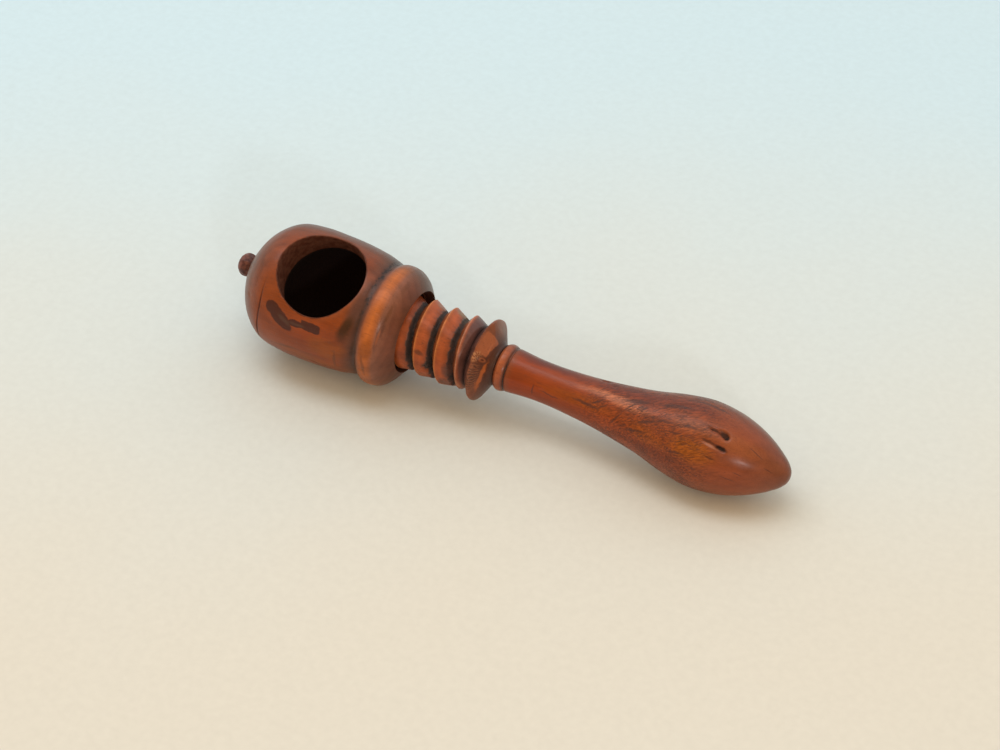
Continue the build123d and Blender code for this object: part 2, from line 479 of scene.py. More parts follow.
# the hole's edge is worn by thumbs and nuts: a little out of round, with one small chip
wander = 0.07 * np.sin(bearing * 3 + 0.6) + 0.05 * np.sin(bearing * 5 + 2.0)
CHIP_BEARING = math.radians(128)
chip = 0.5 * np.exp(-(((bearing - CHIP_BEARING + math.pi) % (2 * math.pi) - math.pi) / 0.05) ** 2)
port_r = PORT_R + wander
lip = PORT_LIP + 0.12 * np.sin(bearing * 4 + 1.0) + chip


def skin_height(run, across):
    """Height of the barrel's skin over the axis at a place in the hole's own frame."""
    x = PORT_X + run
    base = np.interp(x, *body_rows.T)
    roll = PORT_ROLL + np.degrees(np.arcsin(np.clip(across / base, -1, 1)))
    r = barrel_radius(x, base, roll)
    return np.sqrt(r * r - across * across)


OUTER_RINGS = 12
rings = []
for t in np.linspace(1, 0, OUTER_RINGS + 1) ** 1.5:
    run = (1 - t) * (port_r + lip) * np.cos(bearing) + t * edge_run
    across = (1 - t) * (port_r + lip) * np.sin(bearing) + t * edge_across
    rings.append(edge if t == 1 else port_point(run, across, skin_height(run, across)))
run, across = port_r * np.cos(bearing), port_r * np.sin(bearing)
corner_height = skin_height(run, across)
start, corner = rings[-1], port_point(run, across, corner_height)
finish = port_point(run, across, corner_height - lip)
LIP_STEPS = 6
for t in np.linspace(0, 1, LIP_STEPS + 1)[1:]:
    rings.append((1 - t) ** 2 * start + 2 * t * (1 - t) * corner + t * t * finish)

# the round chamber inside, its rows matched to the rows that the hole disturbs outside
CHAMBER_PORT_X = 13.0
sphere_end = CHAMBER_X + math.sqrt(CHAMBER_R ** 2 - BORE_R ** 2)
pole_x = CHAMBER_X - CHAMBER_R
chamber_x = np.concatenate((
    pole_x + (CHAMBER_PORT_X - pole_x) * np.linspace(0, 1, 7)[:-1] ** 2,
    np.linspace(CHAMBER_PORT_X, BORE_X, port_last - port_first + 1),
))
sphere_r = np.sqrt(np.maximum(CHAMBER_R ** 2 - (chamber_x - CHAMBER_X) ** 2, 0))
chamber_r = np.where(chamber_x < sphere_end, sphere_r, BORE_R)
cavity_first = 6
cavity_last = len(chamber_x) - 1
PORT_SPREAD = 76.0  # degrees each side of the hole that it takes up inside
BACK_COLUMNS = 84
near_rolls = np.linspace(0, PORT_SPREAD, PORT_COLUMNS + 1)
back_rolls = np.linspace(PORT_SPREAD, 360 - PORT_SPREAD, BACK_COLUMNS + 1)[1:-1]
inner_rolls = np.concatenate((near_rolls, back_rolls, 360 - near_rolls[:0:-1])) + PORT_ROLL
CAVITY_COLUMNS = len(inner_rolls)
gouge = lumps(round_axis(chamber_x[:, None], chamber_r[:, None], inner_rolls), 5, 4)
inner_r = chamber_r[:, None] + 0.1 * gouge * np.minimum(1, chamber_r / 9)[:, None]
cavity_grid = round_axis(chamber_x[:, None], inner_r, inner_rolls)
barrel.sheet(cavity_grid, port_gap(cavity_first, cavity_last, CAVITY_COLUMNS))
inner_border = port_border(cavity_first, cavity_last, CAVITY_COLUMNS)
inner_edge = np.array([cavity_grid[place] for place in inner_border])
inner_base = np.interp(PORT_X + run, chamber_x, chamber_r)
inner_height = np.sqrt(np.maximum(inner_base ** 2 - across ** 2, 0))
WALL_STEPS = 12
for t in np.linspace(0, 1, WALL_STEPS + 1)[1:]:
    wall = (1 - t) * (corner_height - lip) + t * inner_height
    rough = 0.14 * lumps(port_point(run, across, wall), 3.0, 5) * np.sin(math.pi * t)
    swell = 1 + rough / PORT_R
    rings.append(port_point(run * swell, across * swell, wall))
inner_turn = np.degrees(np.arctan2(across, inner_height))
edge_x = inner_edge[:, 0]
edge_turn = np.degrees(np.arctan2(inner_edge @ port_across, inner_edge @ port_middle))
INNER_RINGS = 6
for t in np.linspace(0, 1, INNER_RINGS + 1)[1:]:
    x = (1 - t) * (PORT_X + run) + t * edge_x
    turn = (1 - t) * inner_turn + t * edge_turn
    ring = round_axis(x, np.interp(x, chamber_x, chamber_r), PORT_ROLL + turn)
    rings.append(inner_edge if t == 1 else ring)
barrel.sheet(np.array(rings))

# the tapped bore, the flare that lets the screw in and the worn lip
tap_x = np.arange(42.0, FLARE_X + 0.01, 0.25)[:, None]
tap_points = round_axis(tap_x, 11.0, rolls)
tap_r = thread_radius(tap_x, rolls) + THREAD_PLAY + 0.05 * lumps(tap_points, 2.5, 6)
tap_grid = round_axis(tap_x, np.minimum(tap_r, FLARE_R), rolls)
flare_rows = curve_through(FLARE, 0.3)
flare_grid = turned(flare_rows, rolls)
flare_grid[-1] = outer_grid[-1]
barrel.sheet(np.concatenate((tap_grid, flare_grid)))

# the step between bore and thread joins two rows whose columns don't match
ring_sizes = (CAVITY_COLUMNS, BARREL_COLUMNS)
step_rows = (cavity_grid[-1], tap_grid[0])
step_turns = [np.degrees(np.arctan2(-row[:, 1], row[:, 2])) % 360 for row in step_rows]
bases = (barrel.count, barrel.count + CAVITY_COLUMNS)
barrel.points.extend(step_rows)
barrel.count += sum(ring_sizes)
starts = [int(np.argmin(turns)) for turns in step_turns]
taken = [0, 0]


def step_vertex(side, ahead=0):
    return bases[side] + (starts[side] + taken[side] + ahead) % ring_sizes[side]


def step_turn(side):
    """Turn of a side's next vertex, which grows past 360 once the side has gone right round."""
    count = taken[side] + 1
    size = ring_sizes[side]
    return step_turns[side][(starts[side] + count) % size] + 360 * (count // size)


while taken[0] < ring_sizes[0] or taken[1] < ring_sizes[1]:
    side = 0 if step_turn(0) <= step_turn(1) else 1
    barrel.faces.append([step_vertex(0), step_vertex(1), step_vertex(side, 1)])
    taken[side] += 1

socket_rows = straight_rows(
    [(SOCKET_DEPTH, 0), (SOCKET_DEPTH, SOCKET_R), (0, SOCKET_R), (0, outer_rows[0, 1])], 1.6
)
socket_grid = turned(socket_rows, rolls)
socket_grid[-1] = outer_grid[0]
barrel.sheet(socket_grid)

barrel_piece = barrel.piece("barrel_turned", "barrel_assembly", "barrel", "barrel_wood")

# painted light in these tones: the bright stop at 48.6 is partly a painted highlight on the collar's
# ridge, and the greyer stops on the collar's bevel, from 51.2 on, are painted grey reflection
BARREL_TONES = [  # the old wax's colour along the barrel
    (0, (0.105, 0.052, 0.028)), (5, (0.15, 0.05, 0.02)), (12, (0.205, 0.046, 0.01)),
    (30, (0.23, 0.043, 0.005)), (39, (0.22, 0.045, 0.007)), (42.4, (0.13, 0.04, 0.017)),
    (44.6, (0.052, 0.023, 0.017)), (45.6, (0.13, 0.044, 0.022)), (46.8, (0.31, 0.088, 0.024)),
    (48.6, (0.43, 0.122, 0.026)), (50, (0.33, 0.096, 0.026)), (51.2, (0.215, 0.085, 0.052)),
    (54, (0.15, 0.05, 0.028)), (56, (0.1, 0.032, 0.016)),
]
GOLDEN = (0.245, 0.062, 0.005)
PURPLE = (0.095, 0.036, 0.026)
ROSE_SHEEN = (0.215, 0.066, 0.034)
DARK_GOLD = (0.05, 0.016, 0.003)
# painted light among these: the rose patches are a painted warm sheen, and the purple patch on the
# collar's bevel at 51.8 is painted grey reflection
BARREL_AREAS = [  # broad patches: x, roll, length, width, lean, colour and strength
    ((41.6, 12, 5, 10, 20), ROSE_SHEEN, 0.7), ((42.9, 32, 4.6, 19, 10), PURPLE, 0.85),
    ((41.2, 64, 3.6, 10, 12), DARK_GOLD, 0.95), ((36, 92, 12, 7, 0), GOLDEN, 0.7),
    ((28, 112, 22, 5, 6), GOLDEN, 0.5), ((48.4, 78, 4, 9, 10), GOLDEN, 0.7),
    ((51.8, 58, 1.4, 13, 5), PURPLE, 0.7), ((22, 130, 34, 5, 0), ROSE_SHEEN, 0.7),
    ((48.8, 118, 6, 6, 0), ROSE_SHEEN, 0.5), ((9, 62, 6, 8, 0), ROSE_SHEEN, 0.35),
    ((44.6, 84, 2.6, 7, 0), DARK_GOLD, 0.8), ((33, -80, 22, 12, 0), DARK_GOLD, 0.4),
    ((20, -150, 20, 14, 10), PURPLE, 0.4), ((47.5, -120, 5, 16, 0), GOLDEN, 0.6),
]
DARK_STREAKS = [
    (52.3, 38, 1, 9, 3), (34, 122, 16, 1.6, 8), (20, 108, 12, 1.4, -12), (48.4, 96, 1.2, 8, -8),
    (52.8, 2, 1.6, 7, 0), (38.5, 104, 1, 9, 4), (8, 30, 9, 2, 70), (30, -100, 20, 1.6, 5),
    (16, 170, 14, 1.6, -6),
]
STAIN = [  # a leaf-shaped spill below the hole, with a square tail
    ((20, 75, 10.6, 4.8, 38), False), ((17.2, 69, 5.4, 4.4, 20), False),
    ((25.6, 75.6, 5.4, 2.5, 0), False), ((30.4, 74.2, 6.6, 3.2, 4), True),
]
STAIN_MIDDLE = [(21.6, 76, 5, 1.6, 30), (26, 76, 5.6, 1, 0)]
COLLAR_HIGHLIGHT = (51.7, 62, 0.7, 5.5, 3)
# the stain's colour, also used for the scribed line and for a painted shadow at the hole's edge
STAIN_AND_SHADOW_RED = (0.046, 0.01, 0.005)
STAIN_GREY = (0.08, 0.036, 0.022)
STREAK_BROWN = (0.095, 0.03, 0.009)
# pale rubbed wood, also used for painted highlights
RUBBED_AND_HIGHLIGHT = (0.27, 0.086, 0.038)
BACK_SHADE_GREY = (0.078, 0.045, 0.028)
GROOVE_BLACK = (0.022, 0.013, 0.012)
GROOVE_X = 44.6
LATHE_LINE_GAP = 0.8
WALL_BROWN = (0.075, 0.021, 0.011)
WALL_GREY = (0.11, 0.042, 0.026)
CHAMBER_SHADOW = (0.01, 0.004, 0.003)
TAP_BROWN = (0.075, 0.026, 0.014)

wood = Finish("barrel_fruitwood")
place, x = wood.place, wood.x
ragged = place.jitter(0.45, 11, 0.55)
figure = grain(place, 1, (26, -18), 2.4)
patina = place.noise(0.11, 5, 5.0)
wavy = place.jitter(0.12, 12, 2.4)
wood.colour = x.tones(0, 56, BARREL_TONES)
for area, tone, strength in BARREL_AREAS:
    wood.paint(wavy.spot(19.5, area) * strength, tone)
for streak in DARK_STREAKS:
    wood.paint(ragged.spot(20, streak) * 0.55, STREAK_BROWN)
wood.colour = (figure * 0.9 + patina * 0.7 + 0.2).shade(wood.colour)
# painted shade and grey reflection: the side turned away from the camera is painted darker and greyer
shaded_far_side = wood.roll.ease(0, -38) * wood.roll.ease(-178, -130) * (patina * 0.4 + 0.6)
wood.paint(shaded_far_side * 0.85, BACK_SHADE_GREY)
stain = 0
for blot, square in STAIN:
    stain = ragged.spot(20.3, blot, square=square).math("MAXIMUM", stain)
stain = stain.ease(0.3, 0.6)
wood.paint(stain * 0.94, STAIN_AND_SHADOW_RED)
for blot in STAIN_MIDDLE:
    wood.paint(ragged.spot(20, blot) * patina.ease(0.3, 0.6) * 0.8, STAIN_GREY)
# painted highlight on the collar's ridge
wood.paint(place.spot(18.5, COLLAR_HIGHLIGHT) * 0.8, RUBBED_AND_HIGHLIGHT)
groove = (x - GROOVE_X).math("ABSOLUTE").ease(1.5, 0.3)
groove = groove * (wood.roll - 5).math("ABSOLUTE").ease(75, 15)
specks = place.noise(0.8, 6, 4.0).ease(0.5, 0.6) * groove
wood.paint(specks * 0.7 + groove * 0.3, GROOVE_BLACK)
pores = place.noise((0.35, 4.5, 4.5), 7, 1.0).ease(0.63, 0.72)
wood.paint(pores * 0.45, STREAK_BROWN)
line_x = SCRIBE_X - wood.roll.ease(70, 110) * SCRIBE_DRIFT
scribed = (x - line_x).math("ABSOLUTE").ease(0.42, 0.12) * wood.roll.ease(42, 70)
wood.paint(scribed * 0.75, STAIN_AND_SHADOW_RED)

port_run = x - PORT_X
port_side = place.vector("DOT_PRODUCT", tuple(port_across))
port_up = place.vector("DOT_PRODUCT", tuple(port_middle)).ease(0.0, 1.0)
port_reach = (port_run * port_run + port_side * port_side).math("SQRT")
# the pale rub round the hole's edge, towards the collar, is wear with a painted highlight on it
rub_and_highlight = port_reach.ease(15.6, 14.2) * port_up * patina.ease(0.3, 0.55) * port_run.ease(-4, 8)
wood.paint(rub_and_highlight * 0.25, RUBBED_AND_HIGHLIGHT)
# painted shadow: a thin dark ring, broken up, round the hole's edge
rim_shadow_breaks = place.noise(0.5, 13, 4.0).ease(0.42, 0.58)
rim_shadow = port_reach.ease(14.15, 13.75) * port_up * rim_shadow_breaks
wood.paint(rim_shadow * 0.7, STAIN_AND_SHADOW_RED)
in_hole = port_reach.ease(13.95, 13.6) * port_up
inner_limit = 16.75 - (x - 50).math("MAXIMUM", 0.0) * 0.58
inside = (inner_limit - wood.reach).ease(0.0, 0.35) * x.ease(10.9, 11.3)
inside = inside.math("MAXIMUM", in_hole)
from_middle = place.vector("SUBTRACT", (CHAMBER_X, 0, 0)).vector("LENGTH")
wall_tone = place.noise(0.6, 9, 5.0).ease(0.35, 0.65).mix(WALL_BROWN, WALL_GREY)
in_wall = from_middle.ease(CHAMBER_R + 0.12, CHAMBER_R + 0.4)
# painted shade: the chamber past the hole's wall is painted near black
hollow_tone = in_wall.mix(CHAMBER_SHADOW, wall_tone)
hollow_tone = x.ease(40.5, 42.0).mix(hollow_tone, TAP_BROWN)
wood.paint(inside, hollow_tone)
lathe_lines = (x * (2 * math.pi / LATHE_LINE_GAP)).math("SINE") * 0.004
relief = place.noise((0.14, 3.2, 3.2), 3, 2.0) * 0.022 + lathe_lines - pores * 0.02
relief = relief + inside * place.noise(0.9, 8, 4.0) * 0.25
roughness = patina * 0.16 + 0.3 + inside * 0.6 + specks * 0.2 + stain * 0.06
wood.lay_on(barrel_piece, roughness, relief, (1 - inside) * 0.15)

# --- End finial ---------------------------
# The small dark knob on the closed end: whittled with about nine flats and pegged into the
# barrel with a round tenon, since its wood and finish differ from the barrel's.
FINIAL = [(0.0, 3.0), (-0.8, 3.3), (-2.6, 3.82), (-4.0, 3.7), (-5.2, 2.8), (-5.75, 1.5), (-5.9, 0.0)]
FINIAL_FACETS = 9
FINIAL_LEAN = 0.75  # the knob stands this far off the axis, towards HIGH_SIDE
TENON_R = 2.6
TENON_LENGTH = 6.0
finial = Shell()
finial_rolls = np.arange(0, 360, 4.0)
knob_rows = curve_through(FINIAL, 0.25)
uneven_roll = finial_rolls + 7 * np.sin(np.radians(2 * finial_rolls))
facet = uneven_roll % (360 / FINIAL_FACETS) - 180 / FINIAL_FACETS
flat = math.cos(math.pi / FINIAL_FACETS) / np.cos(np.radians(facet))
knob_points = turned(knob_rows, finial_rolls)
knob_r = knob_rows[:, 1:] * (0.25 + 0.75 * flat) - 0.08 - 0.09 * lumps(knob_points, 1.6, 11)
knob_r[-1] = 0
knob_grid = round_axis(knob_rows[:, :1], np.maximum(knob_r, 0), finial_rolls)
lean = FINIAL_LEAN * ease(-knob_rows[:, :1], -1.2, 2.2)
knob_grid = knob_grid + round_axis(0, 1, HIGH_SIDE) * lean[..., None]
finial.sheet(knob_grid)
tenon_rows = straight_rows(
    [(0, 3), (0, TENON_R), (TENON_LENGTH, TENON_R), (TENON_LENGTH, 0)], 1.5
)
tenon_grid = turned(tenon_rows, finial_rolls)
tenon_grid[0] = knob_grid[0]
finial.sheet(tenon_grid)
finial_piece = finial.piece("finial_knob", "barrel_assembly", "end_finial", "finial_wood", crease=24)

FINIAL_DEEP = (0.075, 0.024, 0.02)
FINIAL_RED = (0.175, 0.064, 0.048)
FINIAL_BLACK = (0.022, 0.01, 0.01)
wood = Finish("finial_dark_wood")
blotches = wood.place.noise(0.45, 21, 5.0)
wood.colour = blotches.ease(0.36, 0.62).mix(FINIAL_DEEP, FINIAL_RED)
wood.paint(wood.x.ease(-1.4, -0.1) * 0.85, FINIAL_BLACK)
scratch = wood.place.noise((0.4, 4.0, 4.0), 22, 2.0).ease(0.6, 0.68)
wood.paint(scratch * 0.5, FINIAL_BLACK)
relief = blotches * 0.05 - scratch * 0.05
wood.lay_on(finial_piece, blotches * 0.2 + 0.36, relief, blotches * 0.2)

# --- Screw --------------------------------
# The wooden screw that crushes the nut: thread cut by hand, a double-coned flange that stops it
# and a short neck against the handle. Orange where the crests are worn bare, chipped along its
# edges, and packed with old grime in the roots.
TIP_X = 42.3
TIP_CHAMFER = 1.5
THREAD_END_X = 77.4
THREAD_END_TAPER = 2.2
FLANGE_RIM_X = 79.9
FLANGE_RIM_WIDTH = 0.9
FLANGE_R = 13.0
NECK_X = 84.3
NECK_R = 6.5
JOINT_X = 85.5
DOWEL_BORE_R = 3.05
SCREW_BORE_X = 71.5
FACET_ROLL = 19.0  # a flat worn on the flange, facing up
KNOT = (82.2, 47, 2.6, 2.4, 20)
SCREW_COLUMNS = 216
SCREW_STEP = 0.15
SCREW_CHIPS = [  # x, roll, length, width, lean and depth
    ((65.6, 100, 3, 3.4, 20), 0.95), ((66.6, 82, 1.6, 2.2, 0), 0.35), ((73, 20, 1.2, 2.6, 10), 0.3),
    ((79.6, 38, 1.6, 1.6, 0), 0.4), ((80.2, 58, 1.8, 3.2, 10), 0.35), ((81, 44, 1.2, 1.4, 0), 0.3),
    ((79.4, 82, 1.6, 3.4, 0), 0.4), ((80.3, 105, 1.6, 2.4, 0), 0.25), ((72.6, -60, 1.6, 3, 0), 0.5),
    ((60.7, 150, 1.6, 4, 0), 0.5), ((80.3, -95, 1.4, 4, 0), 0.5), ((67, -140, 1.5, 4, 0), 0.45),
    ((80.4, 170, 1.4, 3, 0), 0.4), ((73.6, 120, 1.2, 3, 0), 0.3), ((59.6, 60, 1.4, 2.4, 0), 0.3),
]
screw = Shell()
screw_rolls = np.arange(SCREW_COLUMNS) * 360 / SCREW_COLUMNS
thread_x = np.arange(TIP_X, JOINT_X - 0.35, SCREW_STEP)[:, None]
rim_end = FLANGE_RIM_X + FLANGE_RIM_WIDTH
core_r = np.interp(
    thread_x,
    (TIP_X, TIP_X + TIP_CHAMFER, THREAD_END_X, FLANGE_RIM_X - 0.15, FLANGE_RIM_X + 0.2,
     rim_end - 0.1, rim_end + 0.25, NECK_X - 0.5, NECK_X + 0.2, JOINT_X - 0.3),
    (ROOT_R - TIP_CHAMFER, ROOT_R, ROOT_R, FLANGE_R - 0.25, FLANGE_R - 0.02,
     FLANGE_R - 0.02, FLANGE_R - 0.45, NECK_R + 0.75, NECK_R + 0.08, NECK_R),
)
envelope_r = np.interp(
    thread_x,
    (TIP_X, TIP_X + 2 * TIP_CHAMFER, THREAD_END_X - THREAD_END_TAPER, THREAD_END_X, THREAD_END_X + 0.1),
    (ROOT_R - TIP_CHAMFER, CREST_R + 0.5, CREST_R + 0.3, ROOT_R, 0),
)
screw_points = round_axis(thread_x, 11.0, screw_rolls)
crest_share = thread_phase(thread_x, screw_rolls) / CREST_WIDTH
ragged_edge = 0.26 * lumps(screw_points, 2.6, 21) + 0.15 * lumps(screw_points, 1.1, 22)
ragged_edge = ragged_edge * (0.12 + 0.88 * ease(crest_share, 0.3, 0.8))
cut_r = thread_radius(thread_x + ragged_edge, screw_rolls + 0 * thread_x, 0.12)
top_wear = ease(np.cos(np.radians(screw_rolls - HIGH_SIDE)), 0.1, 0.95)
wear = 0.15 + 1.2 * np.clip(crest_share, 0, 1.2)
front_rolls = (screw_rolls + 180) % 360 - 180
turn_count = (thread_x - CORNER_X) / PITCH - (front_rolls - CORNER_ROLL) / 360
last_worn = ease(turn_count, 0.75, 0.95) * ease(np.abs(front_rolls), 178, 120)
top_wear = np.maximum(top_wear, last_worn * 0.75)
cut_r = cut_r - top_wear * wear * np.clip((cut_r - ROOT_R) / (CREST_LOW_R - ROOT_R), 0, 1)
screw_r = np.maximum(np.minimum(cut_r, envelope_r), core_r)
off_facet = (screw_rolls - FACET_ROLL + 180) % 360 - 180
facet_reach = np.interp(thread_x, (79.3, 80.2, 83.4, 84.2), (13.1, 11.55, 7.95, 8.4))
facet_r = facet_reach / np.cos(np.radians(np.clip(off_facet, -60, 60)))
on_facet = (thread_x > THREAD_END_X + 1.5) & (np.abs(off_facet) < 60)
screw_r = np.where(on_facet, np.minimum(screw_r, facet_r), screw_r)
height_share = np.clip((screw_r - ROOT_R) / (CREST_R - ROOT_R), 0, 1)
screw_r = screw_r - height_share * (0.06 + 0.08 * lumps(screw_points, 5.0, 23)) - 0.03
screw_r = screw_r - 0.025 * height_share * np.abs(lumps(screw_points * (0.4, 1, 1), 0.9, 24))
for chip_spot, depth in SCREW_CHIPS + [(KNOT, 0.45)]:
    rough = 0.75 + 0.5 * lumps(screw_points, 0.9, 25)
    screw_r = screw_r - depth * rough * bump_at(thread_x, screw_rolls, 11.5, chip_spot)
screw_r = np.clip(screw_r, np.minimum(core_r, 9.0) * 0.98, FLANGE_R - 0.02)
shaft_grid = round_axis(thread_x, screw_r, screw_rolls)
screw.sheet(shaft_grid)
tip_rows = straight_rows([(TIP_X + 0.6, 0), (TIP_X + 0.25, 3.0), (TIP_X, ROOT_R - TIP_CHAMFER)], 1.2)
tip_grid = turned(tip_rows, screw_rolls)
tip_grid[-1] = shaft_grid[0]
screw.sheet(tip_grid)
neck_end = float(thread_x[-1, 0])
neck_rows = straight_rows(
    [(neck_end, NECK_R), (JOINT_X - 0.02, NECK_R - 0.3), (JOINT_X - 0.02, DOWEL_BORE_R),
     (SCREW_BORE_X, DOWEL_BORE_R), (SCREW_BORE_X, 0)], 1.5
)
neck_grid = turned(neck_rows, screw_rolls)
neck_grid[0] = shaft_grid[-1]
screw.sheet(neck_grid)
screw_piece = screw.piece("screw_thread", "screw_and_handle", "screw", "screw_wood", crease=60)

# painted light in these tones: the pale stops at the crest's corner are a painted highlight, and the
# left flank is painted darker than the crest as painted shade; the dark of the right flank and root is
# old grime
THREAD_TONES = [  # colour round one turn of thread: crest, flank, root and flank
    (0, (0.46, 0.165, 0.052)), (0.035, (0.37, 0.105, 0.028)), (0.09, (0.3, 0.07, 0.02)),
    (0.3, (0.33, 0.074, 0.022)), (0.47, (0.26, 0.06, 0.02)), (0.545, (0.2, 0.052, 0.022)),
    (0.585, (0.06, 0.034, 0.029)), (0.66, (0.032, 0.026, 0.027)), (0.73, (0.032, 0.022, 0.02)),
    (0.79, (0.085, 0.032, 0.017)), (0.86, (0.19, 0.05, 0.015)), (0.965, (0.29, 0.07, 0.018)),
    (1, (0.46, 0.165, 0.052)),
]
# its pale first and last stops are a painted highlight on the ridge
LAST_TURN_TONES = [  # the last half turn before the flange, worn low and dark
    (0, (0.4, 0.17, 0.095)), (0.045, (0.33, 0.1, 0.05)), (0.09, (0.21, 0.066, 0.038)),
    (0.14, (0.125, 0.052, 0.043)), (0.56, (0.092, 0.041, 0.036)), (0.69, (0.04, 0.025, 0.023)),
    (0.78, (0.08, 0.03, 0.02)), (0.93, (0.24, 0.072, 0.036)), (1, (0.4, 0.17, 0.095)),
]
FLANGE_TONES = [  # colour along the flange and the neck
    (76.8, (0.03, 0.018, 0.017)), (78, (0.055, 0.026, 0.024)), (79.3, (0.1, 0.04, 0.028)),
    (80, (0.23, 0.07, 0.03)), (81.2, (0.18, 0.058, 0.028)), (82.6, (0.11, 0.038, 0.022)),
    (84, (0.07, 0.026, 0.017)), (85.6, (0.04, 0.016, 0.011)),
]
# mostly stains; the three pale grey ones on the upper side, at rolls -34 to -38, are painted grey
# reflection
SCREW_STAINS_AND_SHEEN = [  # x, roll, length, width, lean, colour and strength
    ((72.6, 88, 3.4, 5, 0), (0.085, 0.036, 0.028), 0.8),
    ((73.2, 60, 1.8, 5, 0), (0.09, 0.036, 0.028), 0.6),
    ((71.6, 118, 4, 5, 0), (0.12, 0.048, 0.034), 0.8),
    ((65.8, 96, 3.4, 3.2, 20), (0.028, 0.02, 0.018), 0.9),
    ((63, 72, 3, 1.6, 20), (0.12, 0.034, 0.014), 0.8), ((69, -36, 4, 5, 0), (0.17, 0.11, 0.055), 0.8),
    ((71.4, -22, 3, 5, 0), (0.06, 0.045, 0.036), 0.8), ((62, -34, 3, 4, 0), (0.24, 0.11, 0.06), 0.7),
    ((81.4, -38, 4, 7, 0), (0.2, 0.11, 0.08), 0.6), ((61, -130, 4, 6, 0), (0.1, 0.04, 0.03), 0.6),
    ((69, -160, 4, 6, 0), (0.09, 0.038, 0.028), 0.6), ((66, 160, 4, 6, 0), (0.11, 0.04, 0.024), 0.6),
]
FLANGE_FACET = (81.5, FACET_ROLL, 3.3, 7.4, 8)
FACET_ORANGE = (0.31, 0.092, 0.036)
ROUGH_GRAIN = (80.9, 76, 2.9, 10.0, 6)  # the flange's hatched end grain
HATCH_GAP = 4.2  # degrees of roll between its lines
TORN_FIBRES = (80.6, 45, 2.4, 3.4, 20)
GRAIN_DARK = (0.062, 0.027, 0.019)
GRAIN_PALE = (0.21, 0.08, 0.042)
ORANGE_BAND = (82.8, 79, 0.9, 11.0, 9)
BAND_ORANGE = (0.42, 0.11, 0.026)
TORN_PALE = (0.42, 0.19, 0.085)
KNOT_DARK = (0.045, 0.017, 0.012)
GRIME = (0.03, 0.021, 0.019)
wood = Finish("screw_worn_wood")
place, x = wood.place, wood.x
ragged = place.jitter(0.9, 31, 0.45)
figure = grain(place, 32, (-22, 16), 2.0, 0.06)
patina = place.noise(0.22, 35, 5.0)
chatter = (place.noise((0.5, 0.7, 0.7), 37, 4.0) - 0.5) * 0.2
turns = (x - CORNER_X) / PITCH - (wood.roll - CORNER_ROLL) / 360
phase = turns.math("FRACT")
shifted = phase + chatter * phase.ease(0.02, 0.4) * phase.ease(1.0, 0.9)
last_turn = turns.ease(0.9, 0.97) * wood.roll.math("ABSOLUTE").ease(178, 120)
wood.colour = last_turn.mix(shifted.tones(0, 1, THREAD_TONES), shifted.tones(0, 1, LAST_TURN_TONES))
wood.paint(x.ease(76.6, 77.4), (x + (patina - 0.5) * 0.8).tones(76.8, 85.6, FLANGE_TONES))
for blot, tone, strength in SCREW_STAINS_AND_SHEEN:
    wood.paint(ragged.spot(11.3, blot) * strength, tone)
wood.colour = (figure * 0.9 + patina * 1.1).shade(wood.colour)
facet_mask = place.jitter(0.5, 41, 0.5).spot(9.8, FLANGE_FACET, 9.0, square=True)
facet_mask = facet_mask.ease(0.15, 0.5) * x.ease(79.5, 80.1)
wood.paint(facet_mask, (figure * 0.6 + 0.65).shade(FACET_ORANGE))
torn = ragged.spot(11.5, TORN_FIBRES) * place.noise(2.4, 40, 2.0).ease(0.48, 0.56)
wood.paint(torn, TORN_PALE)
hatch = (wood.roll * (2 * math.pi / HATCH_GAP) + place.noise(0.7, 34, 2.0) * 9).math("SINE")
hatched = ragged.spot(12.0, ROUGH_GRAIN) * place.noise((0.9, 1.6, 1.6), 36, 2.0).ease(0.35, 0.5)
wood.paint(hatched * 0.85, hatch.ease(-0.7, 0.9).mix(GRAIN_DARK, GRAIN_PALE))
wood.paint(ragged.spot(9.4, ORANGE_BAND) * 0.85, BAND_ORANGE)
wood.paint(ragged.spot(10.0, KNOT) * 0.8, KNOT_DARK)
wood.paint(ragged.spot(10.0, (*KNOT[:2], 1.7, 1.5, 20)) * 0.8, FACET_ORANGE)
wood.paint(ragged.spot(10.0, (*KNOT[:2], 0.8, 0.7, 20)) * 0.8, KNOT_DARK)
pits = place.noise((0.9, 3.0, 3.0), 38, 2.0).ease(0.62, 0.7)
wood.paint(pits * 0.35, GRIME)
dirt = phase.ease(0.56, 0.6) * phase.ease(0.82, 0.74) * x.ease(77.4, 76.6)
relief = place.noise((0.25, 1.8, 1.8), 33, 3.0) * 0.03 - pits * 0.015 + hatched * hatch * 0.06
relief = relief + dirt * place.noise(1.2, 39, 4.0) * 0.18
roughness = patina * 0.16 + 0.32 + dirt * 0.3 + hatched * 0.2
wood.lay_on(screw_piece, roughness, relief, (1 - dirt) * 0.1)

